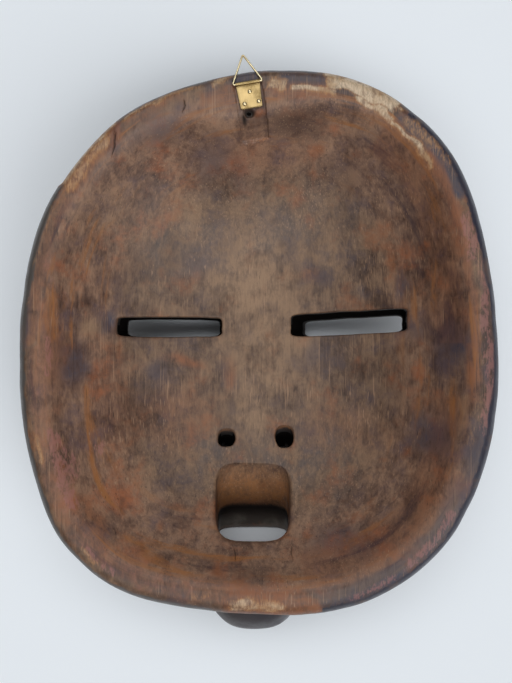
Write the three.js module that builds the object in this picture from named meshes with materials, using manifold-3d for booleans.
// A round wooden face mask that lies face down, with a small brass picture hanger nailed to its rim.
// Units are millimetres. +Z is up, out of the hollow. +Y runs from the chin to the crown. +X is to the
// right for someone who looks down into the hollow. Heights are measured from the table.
import * as THREE from "three";
import { mergeVertices } from "three/addons/utils/BufferGeometryUtils.js";
import Module from "manifold-3d";

const wasm = await Module();
wasm.setup();

// The cutters start below the table and end above the wood.
const CUT_BOTTOM = -4;
const CUT_TOP = 112;

// Driving dimensions of the wood, from the centre of the face.
const RIM_HEIGHT = 106; // back plane of the rim above the table
const EDGE_STEP = 15; // degrees between two stations of the outline
// Reach of the widest line at each station, anticlockwise from the right-hand side.
const EDGE_REACH = [
  177, 178, 187, 199.5, 205.5, 205, 199.5, 195.5, 195, 189, 184, 177.5,
  176.5, 181.5, 191.5, 206, 209, 203, 200.5, 205, 205.5, 202, 191.5, 181.5,
];
const GIRTH_DROP = 16; // the widest line lies this far below the back plane
const RIM_INSET = 11.3; // mean distance from the widest line in to the edge of the back plane
const RIM_INSET_SWING = 2.7; // the inset is this much more at the lower right, and less across from it
const RIM_INSET_TURN = 60; // degrees below the right-hand side where it is largest
const BAND = 11; // width of the flat band of the rim
const BAND_CROWN = 15; // extra width of the band at the crown, under the hanger
const BAND_CROWN_AT = 93; // degrees, the middle of that wider stretch
const BAND_CROWN_SPREAD = 16; // degrees, how far it runs
const HOLLOW_DEPTH = 73;
const HOLLOW_POWER = 3.1; // above 2 the hollow has a flatter floor and steeper sides than a bowl
const DOME_DEPTH = 97; // front of the dome below the back plane, before brow and face are shaped
const DOME_POWER = 0.9;
const BROW = { rise: 17.5, y: 58, spreadX: 75, spreadY: 42 };
const FACE_RECESS = { rise: -9, y: -30, spreadX: 80, spreadY: 55 };

// Eye slots run from x0 to x1; lift is how much higher the outer end is than the inner end.
const EYES = [
  { x0: -109.5, x1: -30, y: 11.5, height: 14.5, lift: 0, flare: 1 },
  { x0: 27, x1: 116, y: 13, height: 14.5, lift: 4, flare: 5 },
];
const SLOT_WALL = { front: 28, back: 50 }; // heights between which an upper wall flares out by flare
const SLOT_POWER = 7; // superellipse power: nearly square ends with worn corners
const LID = { overLength: 9, halfHeight: 19, rise: 6.5, root: 5, power: 2.2 };
const NOSTRILS = [
  { x: -26, y: -78.4, halfWidth: 7, halfHeight: 8.5 },
  { x: 21.5, y: -77, halfWidth: 7.3, halfHeight: 10.5 },
];
const NOSTRIL_POWER = 2.6;
const NOSTRIL_SLANT = 0.3; // drop towards the chin for each millimetre forward
const NOSTRIL_LEVEL = 38; // height of the hollow's floor at the nostrils
// Nose: half width and height of the ridge above the table along its length, from brow to lip.
const NOSE_SECTIONS = [
  { y: 42, half: 5, ridge: 15 },
  { y: 24, half: 9, ridge: 9.5 },
  { y: 0, half: 13, ridge: 7 },
  { y: -30, half: 20, ridge: 4.5 },
  { y: -56, half: 28, ridge: 3 },
  { y: -74, half: 35, ridge: 2.5 },
  { y: -84, half: 35, ridge: 3.5 },
  { y: -91, half: 29, ridge: 8 },
  { y: -95, half: 20, ridge: 16 },
];
const NOSE_ROOT = 30; // height at which the nose ends inside the wall
const NOSE_ARCH = 0.8; // below 1 the ridge is broader than a half circle
// Jaw: the projecting mouth, from the lips on the table up to the chin that shows past the rim.
const JAW = { x: -3, y: -163, power: 2.4 };
const JAW_SECTIONS = [
  { z: 0, half: 37, up: 25, down: 26 },
  { z: 3, half: 40.5, up: 29, down: 30 },
  { z: 20, half: 42, up: 42, down: 39 },
  { z: 40, half: 43, up: 60, down: 51 },
  { z: 58, half: 43, up: 60, down: 58.5 },
  { z: 67, half: 42, up: 50, down: 59.5 },
  { z: 77, half: 40, up: 30, down: 56 },
  { z: 86, half: 35, up: 24, down: 46 },
  { z: 92, half: 26, up: 12, down: 28 },
];
// Mouth channel: a scoop from the hollow down to the lips, in sections by height.
const MOUTH = { x: -3.5, power: 4 };
const MOUTH_SECTIONS = [
  { z: CUT_BOTTOM, half: 28, top: -146, bottom: -181 },
  { z: 8, half: 28, top: -142, bottom: -175 },
  { z: 56, half: 31.5, top: -93, bottom: -159 },
  { z: 100, half: 31.5, top: -58, bottom: -144 },
];

// Driving dimensions of the hanger. Its own frame has the hinge line on X and the plate towards -Y.
const HANGER = { x: -7.8, y: 186.2, turn: 9.5 }; // middle of the hinge line, and degrees anticlockwise
// Chiselled seat for the plate; it runs from bottom to top along the hanger's own Y.
const SEAT = { width: 20.5, depth: 0.8, bottom: -22, top: 20 };
const GAP = 0.3; // clearance between touching pieces
const PLATE = { topWidth: 17.6, bottomWidth: 15.8, length: 18, thickness: 1.2 };
const EYE = { outer: 1.75, inner: 1.15 }; // rolled eye that holds the wire
const WIRE = { radius: 0.75, base: 22, height: 22.3, bend: 2, sides: 4, steps: 48, split: 0.4 };
const RING_DROOP = 9; // degrees below level, where the ring lies on the edge of the wood
const NAILS = {
  nail_top: { x: 0.4, y: -6.1 },
  nail_left: { x: -4.6, y: -14.3 },
  nail_right: { x: 5.8, y: -14 },
};
const NAIL = {
  headRadius: 1.5,
  headRise: 0.9,
  headGap: 0.1,
  shankRadius: 0.55,
  length: 9,
  tip: 1.2,
  hole: 0.85,
};

// The origin of the whole part is on the table, under the middle of its overall length.
const ORIGIN_BELOW_FACE_CENTRE = 7.4;

// Fineness of the faceted surfaces.
const SECTORS = 60;
const FRONT_RINGS = 13;
const SIDE_RINGS = 4;
const HOLLOW_RINGS = 10;
const SECTION_POINTS = 32;
const PIN_SIDES = 8;
const HEAD_SIDES = 12;
const NOSE_SIDES = 12;

const WOOD = new THREE.MeshStandardMaterial({ color: 0x5f4436, roughness: 0.6, metalness: 0 });
const BRASS = new THREE.MeshStandardMaterial({ color: 0xc8a65e, roughness: 0.35, metalness: 0.9 });

const radians = THREE.MathUtils.degToRad;

// Outline of the wood

// Reach of the widest line at an angle in degrees: a smooth closed curve through the stations.
function edgeReach(degrees) {
  const count = EDGE_REACH.length;
  const place = THREE.MathUtils.euclideanModulo(degrees / EDGE_STEP, count);
  const i = Math.floor(place);
  const t = place - i;
  const [a, b, c, d] = [-1, 0, 1, 2].map((k) => EDGE_REACH[(i + k + count) % count]);
  return (
    b +
    0.5 * t * (c - a + t * (2 * a - 5 * b + 4 * c - d + t * (3 * (b - c) + d - a)))
  );
}

// Reach of the outer edge of the back plane.
function rimReach(degrees) {
  const swing = RIM_INSET_SWING * Math.cos(radians(degrees + RIM_INSET_TURN));
  return edgeReach(degrees) - RIM_INSET - swing;
}

// Reach of the mouth of the hollow.
function hollowReach(degrees) {
  const away = (degrees - BAND_CROWN_AT) / BAND_CROWN_SPREAD;
  return rimReach(degrees) - BAND - BAND_CROWN * Math.exp(-away * away);
}

// Height of a soft round swelling at a point: rise at its middle, fading with distance.
function swelling({ rise, y: middle, spreadX, spreadY }, x, y) {
  return rise * Math.exp(-((x / spreadX) ** 2) - ((y - middle) / spreadY) ** 2);
}

// Height above the table of the front of the face, without nose, lids and jaw.
function faceHeight(x, y) {
  const degrees = THREE.MathUtils.radToDeg(Math.atan2(y, x));
  const share = Math.min(1, Math.hypot(x, y) / edgeReach(degrees));
  const dome = (DOME_DEPTH - GIRTH_DROP) * (1 - share ** 2) ** DOME_POWER;
  const shaping = swelling(BROW, x, y) + swelling(FACE_RECESS, x, y);
  return RIM_HEIGHT - GIRTH_DROP - dome - shaping * (1 - share ** 4);
}

// Solids

// A three.js geometry as a manifold solid.
function solidOf(geometry) {
  const bare = geometry.index ? geometry.toNonIndexed() : geometry.clone();
  bare.deleteAttribute("normal");
  bare.deleteAttribute("uv");
  const merged = mergeVertices(bare, 1e-4);
  return new wasm.Manifold(
    new wasm.Mesh({
      numProp: 3,
      vertProperties: merged.attributes.position.array,
      triVerts: new Uint32Array(merged.index.array),
    }),
  );
}

// A manifold solid as a named mesh.
function meshOf(solid, name, material) {
  const { numVert, numProp, vertProperties, triVerts } = solid.getMesh();
  const positions = new Float32Array(numVert * 3);
  for (let i = 0; i < numVert; i++) {
    positions.set(vertProperties.subarray(i * numProp, i * numProp + 3), i * 3);
  }
  const geometry = new THREE.BufferGeometry();
  geometry.setAttribute("position", new THREE.BufferAttribute(positions, 3));
  geometry.setIndex(new THREE.BufferAttribute(triVerts, 1));
  geometry.computeVertexNormals();
  const mesh = new THREE.Mesh(geometry, material);
  mesh.name = name;
  return mesh;
}

// A lathe whose rings are then moved to where place(degrees, ring) says. Rings run from axis to axis.
function shapedLathe(rings, place) {
  const profile = [];
  for (let ring = 0; ring < rings; ring++) {
    profile.push(new THREE.Vector2(ring % (rings - 1) === 0 ? 0 : 1, ring));
  }
  const geometry = new THREE.LatheGeometry(profile, SECTORS);
  const position = geometry.getAttribute("position");
  for (let sector = 0; sector <= SECTORS; sector++) {
    for (let ring = 0; ring < rings; ring++) {
      const degrees = (360 * (sector % SECTORS)) / SECTORS;
      const { reach, z } = place(degrees, ring);
      const x = reach * Math.cos(radians(degrees));
      const y = reach * Math.sin(radians(degrees));
      position.setXYZ(sector * rings + ring, x, y, z(x, y));
    }
  }
  return geometry;
}

// A closed solid through rings of equally many points, anticlockwise seen from the last ring.
function loft(rings) {
  const count = rings[0].length;
  const points = rings.flat();
  const index = [];
  for (let r = 0; r + 1 < rings.length; r++) {
    for (let i = 0; i < count; i++) {
      const a = r * count + i;
      const b = r * count + ((i + 1) % count);
      index.push(a, b, b + count, a, b + count, a + count);
    }
  }
  for (const [start, flip] of [[0, true], [(rings.length - 1) * count, false]]) {
    const middle = new THREE.Vector3();
    rings[start / count].forEach((p) => middle.addScaledVector(p, 1 / count));
    points.push(middle);
    for (let i = 0; i < count; i++) {
      const a = start + i;
      const b = start + ((i + 1) % count);
      index.push(...(flip ? [b, a] : [a, b]), points.length - 1);
    }
  }
  return new THREE.BufferGeometry().setFromPoints(points).setIndex(index);
}

// A superellipse ring with its own reach up and down, at the height that level(x, y) gives.
function ring({ x, y, half, up, down = up, power, level }) {
  const rounded = (value) => Math.sign(value) * Math.abs(value) ** (2 / power);
  return Array.from({ length: SECTION_POINTS }, (_, i) => {
    const angle = (2 * Math.PI * i) / SECTION_POINTS;
    const px = x + half * rounded(Math.cos(angle));
    const sine = rounded(Math.sin(angle));
    const py = y + sine * (sine > 0 ? up : down);
    return new THREE.Vector3(px, py, level(px, py));
  });
}

// The wood before it is hollowed: dome, rounded edge and flat back.
function domeSolid() {
  const rings = FRONT_RINGS + SIDE_RINGS + 2;
  return solidOf(
    shapedLathe(rings, (degrees, index) => {
      if (index <= FRONT_RINGS) {
        const share = Math.sin((Math.PI / 2) * (index / FRONT_RINGS));
        return { reach: share * edgeReach(degrees), z: faceHeight };
      }
      const turn = (Math.PI / 2) * Math.min(1, (index - FRONT_RINGS) / SIDE_RINGS);
      const rim = rimReach(degrees);
      const reach = rim + (edgeReach(degrees) - rim) * Math.cos(turn);
      const z = RIM_HEIGHT - GIRTH_DROP * (1 - Math.sin(turn));
      return { reach: index === rings - 1 ? 0 : reach, z: () => z };
    }),
  );
}

// The space inside the hollow, a little taller than the rim.
function hollowSolid() {
  const rings = HOLLOW_RINGS + 3;
  return solidOf(
    shapedLathe(rings, (degrees, index) => {
      const share = Math.min(1, index / HOLLOW_RINGS);
      const depth = HOLLOW_DEPTH * (1 - share ** HOLLOW_POWER);
      const z = index > HOLLOW_RINGS ? CUT_TOP : RIM_HEIGHT - depth;
      const reach = index === rings - 1 ? 0 : share * hollowReach(degrees);
      return { reach, z: () => z };
    }),
  );
}

function jawSolid() {
  return solidOf(
    loft(JAW_SECTIONS.map(({ z, ...size }) => ring({ ...JAW, ...size, level: () => z }))),
  );
}

function mouthSolid() {
  return solidOf(
    loft(
      MOUTH_SECTIONS.map(({ z, half, top, bottom }) =>
        ring({ ...MOUTH, half, y: (top + bottom) / 2, up: (top - bottom) / 2, level: () => z }),
      ),
    ),
  );
}

// The nose: arched sections along its length, rooted in the wall.
function noseSolid() {
  const rings = NOSE_SECTIONS.map(({ y, half, ridge }) =>
    Array.from({ length: NOSE_SIDES + 1 }, (_, i) => {
      const angle = (Math.PI * i) / NOSE_SIDES;
      const z = NOSE_ROOT - (NOSE_ROOT - ridge) * Math.sin(angle) ** NOSE_ARCH;
      return new THREE.Vector3(-half * Math.cos(angle), y, z);
    }),
  );
  return solidOf(loft(rings));
}

// A swollen eyelid around a slot. It follows the face and is rooted in the wall.
function lidSolid(eye) {
  const x = (eye.x0 + eye.x1) / 2;
  const half = (eye.x1 - eye.x0) / 2 + LID.overLength;
  const shares = [1, 1, 0.85, 0.6, 0.3];
  const rings = shares.map((share, i) => {
    const rise = i === 0 ? -LID.root : LID.rise * Math.sqrt(1 - share ** 2);
    const level = (px, py) => faceHeight(px, py) - rise;
    const size = { half: half * share, up: LID.halfHeight * share };
    return ring({ x, y: eye.y, ...size, power: LID.power, level });
  });
  return solidOf(loft(rings.reverse()));
}

function slotSolid(eye) {
  const x = (eye.x0 + eye.x1) / 2;
  const half = (eye.x1 - eye.x0) / 2;
  const side = Math.sign(x);
  const rings = [CUT_BOTTOM, SLOT_WALL.front, CUT_TOP].map((z) => {
    const past = Math.max(0, (z - SLOT_WALL.front) / (SLOT_WALL.back - SLOT_WALL.front));
    const reach = { half, up: eye.height / 2 + eye.flare * past, down: eye.height / 2 };
    const shape = ring({ x, y: eye.y, ...reach, power: SLOT_POWER, level: () => z });
    shape.forEach((p) => {
      p.y += (eye.lift / 2) * side * ((p.x - x) / half);
    });
    return shape;
  });
  return solidOf(loft(rings));
}

function nostrilSolid({ x, y, halfWidth, halfHeight }) {
  const rings = [CUT_BOTTOM, CUT_TOP].map((z) => {
    const middle = y - NOSTRIL_SLANT * (NOSTRIL_LEVEL - z);
    const size = { half: halfWidth, up: halfHeight, power: NOSTRIL_POWER };
    return ring({ x, y: middle, ...size, level: () => z });
  });
  return solidOf(loft(rings));
}

// Hanger

// Height of the floor of the chiselled seat, and of the underside of the plate on it.
const SEAT_FLOOR = RIM_HEIGHT - SEAT.depth;
const PLATE_UNDERSIDE = SEAT_FLOOR + GAP;

// Moves a geometry from the hanger's own frame, with its height on the plate's underside.
function onHanger(geometry) {
  return geometry
    .rotateZ(radians(HANGER.turn))
    .translate(HANGER.x, HANGER.y, PLATE_UNDERSIDE);
}

function seatSolid() {
  const height = CUT_TOP - SEAT_FLOOR;
  const box = new THREE.BoxGeometry(SEAT.width, SEAT.top - SEAT.bottom, height);
  box.translate(0, (SEAT.top + SEAT.bottom) / 2, height / 2 - GAP);
  return solidOf(onHanger(box));
}

// A round pin or hole that stands in the hanger's frame, from a low to a high level.
function upright({ x, y }, radius, low, high) {
  const pin = new THREE.CylinderGeometry(radius, radius, high - low, PIN_SIDES);
  return pin.rotateX(Math.PI / 2).translate(x, y, (low + high) / 2);
}

// The sheet, folded double around the wire: a flat strip that ends in a rolled eye.
function plateSolid() {
  const meet = Math.asin((EYE.outer - PLATE.thickness) / EYE.outer);
  const shape = new THREE.Shape();
  shape.moveTo(-PLATE.length, 0);
  shape.lineTo(0, 0);
  shape.absarc(0, EYE.outer, EYE.outer, -Math.PI / 2, Math.PI + meet, false);
  shape.lineTo(-PLATE.length, PLATE.thickness);
  const hole = new THREE.Path();
  hole.absarc(0, EYE.outer, EYE.inner, 0, 2 * Math.PI, true);
  shape.holes.push(hole);
  const sheet = new THREE.ExtrudeGeometry(shape, {
    depth: PLATE.topWidth,
    bevelEnabled: false,
    curveSegments: 12,
  });
  // The profile is drawn along the plate and upwards, and extruded across it.
  const across = new THREE.Matrix4().makeBasis(
    new THREE.Vector3(0, 1, 0),
    new THREE.Vector3(0, 0, 1),
    new THREE.Vector3(1, 0, 0),
  );
  sheet.translate(0, 0, -PLATE.topWidth / 2).applyMatrix4(across);
  const position = sheet.getAttribute("position");
  for (let i = 0; i < position.count; i++) {
    const down = Math.max(0, -position.getY(i) / PLATE.length);
    const taper = 1 + (PLATE.bottomWidth / PLATE.topWidth - 1) * down;
    position.setX(i, position.getX(i) * taper);
  }
  let solid = solidOf(onHanger(sheet));
  for (const place of Object.values(NAILS)) {
    const hole = upright(place, NAIL.hole, -PLATE.thickness, 2 * PLATE.thickness);
    solid = solid.subtract(solidOf(onHanger(hole)));
  }
  return solid;
}

// A nail: domed head just above the plate and a plain shank down into the wood.
function nailSolid(place) {
  const seat = PLATE.thickness + NAIL.headGap;
  const profile = [
    [0, -NAIL.length],
    [NAIL.shankRadius, NAIL.tip - NAIL.length],
    [NAIL.shankRadius, seat],
    [NAIL.headRadius, seat],
    [NAIL.headRadius * 0.92, seat + NAIL.headRise * 0.45],
    [NAIL.headRadius * 0.55, seat + NAIL.headRise * 0.88],
    [0, seat + NAIL.headRise],
  ].map(([radius, height]) => new THREE.Vector2(radius, height));
  const nail = new THREE.LatheGeometry(profile, HEAD_SIDES).rotateX(Math.PI / 2);
  return solidOf(onHanger(nail.translate(place.x, place.y, 0)));
}

// The wire: one triangle whose two ends meet inside the rolled eye.
function ringGeometry() {
  const half = WIRE.base / 2;
  const corners = [
    new THREE.Vector3(half, 0, 0),
    new THREE.Vector3(0, WIRE.height, 0),
    new THREE.Vector3(-half, 0, 0),
  ];
  const path = new THREE.CurvePath();
  let from = new THREE.Vector3(WIRE.split / 2, 0, 0);
  const end = new THREE.Vector3(-WIRE.split / 2, 0, 0);
  corners.forEach((corner, i) => {
    const after = corners[i + 1] ?? end;
    const start = corner.clone().addScaledVector(from.clone().sub(corner).normalize(), WIRE.bend);
    const stop = corner.clone().addScaledVector(after.clone().sub(corner).normalize(), WIRE.bend);
    path.add(new THREE.LineCurve3(from, start));
    path.add(new THREE.QuadraticBezierCurve3(start, corner, stop));
    from = stop;
  });
  path.add(new THREE.LineCurve3(from, end));
  const section = new THREE.Shape();
  section.absarc(0, 0, WIRE.radius, 0, 2 * Math.PI, false);
  const wire = new THREE.ExtrudeGeometry(section, {
    extrudePath: path,
    steps: WIRE.steps,
    curveSegments: WIRE.sides,
    bevelEnabled: false,
  });
  return wire.rotateX(radians(-RING_DROOP)).translate(0, 0, EYE.outer);
}

// Assembly

function maskSolid() {
  let wood = domeSolid().add(jawSolid()).add(noseSolid());
  for (const eye of EYES) wood = wood.add(lidSolid(eye));
  const cuts = [hollowSolid(), mouthSolid(), seatSolid()];
  cuts.push(...EYES.map(slotSolid), ...NOSTRILS.map(nostrilSolid));
  for (const place of Object.values(NAILS)) {
    const hole = upright(place, NAIL.hole, -NAIL.length - GAP, PLATE.thickness);
    cuts.push(solidOf(onHanger(hole)));
  }
  // Ground flat where brow and lips touch the table.
  const table = new THREE.BoxGeometry(4 * RIM_HEIGHT, 6 * RIM_HEIGHT, RIM_HEIGHT);
  cuts.push(solidOf(table.translate(0, 0, -RIM_HEIGHT / 2)));
  for (const cut of cuts) wood = wood.subtract(cut);
  return wood;
}

const part = new THREE.Group();
part.add(meshOf(maskSolid(), "mask", WOOD));
part.add(meshOf(plateSolid(), "hanger_plate", BRASS));
part.add(meshOf(solidOf(onHanger(ringGeometry())), "hanger_ring", BRASS));
for (const [name, place] of Object.entries(NAILS)) {
  part.add(meshOf(nailSolid(place), name, BRASS));
}
part.position.y = ORIGIN_BELOW_FACE_CENTRE;

export default part;
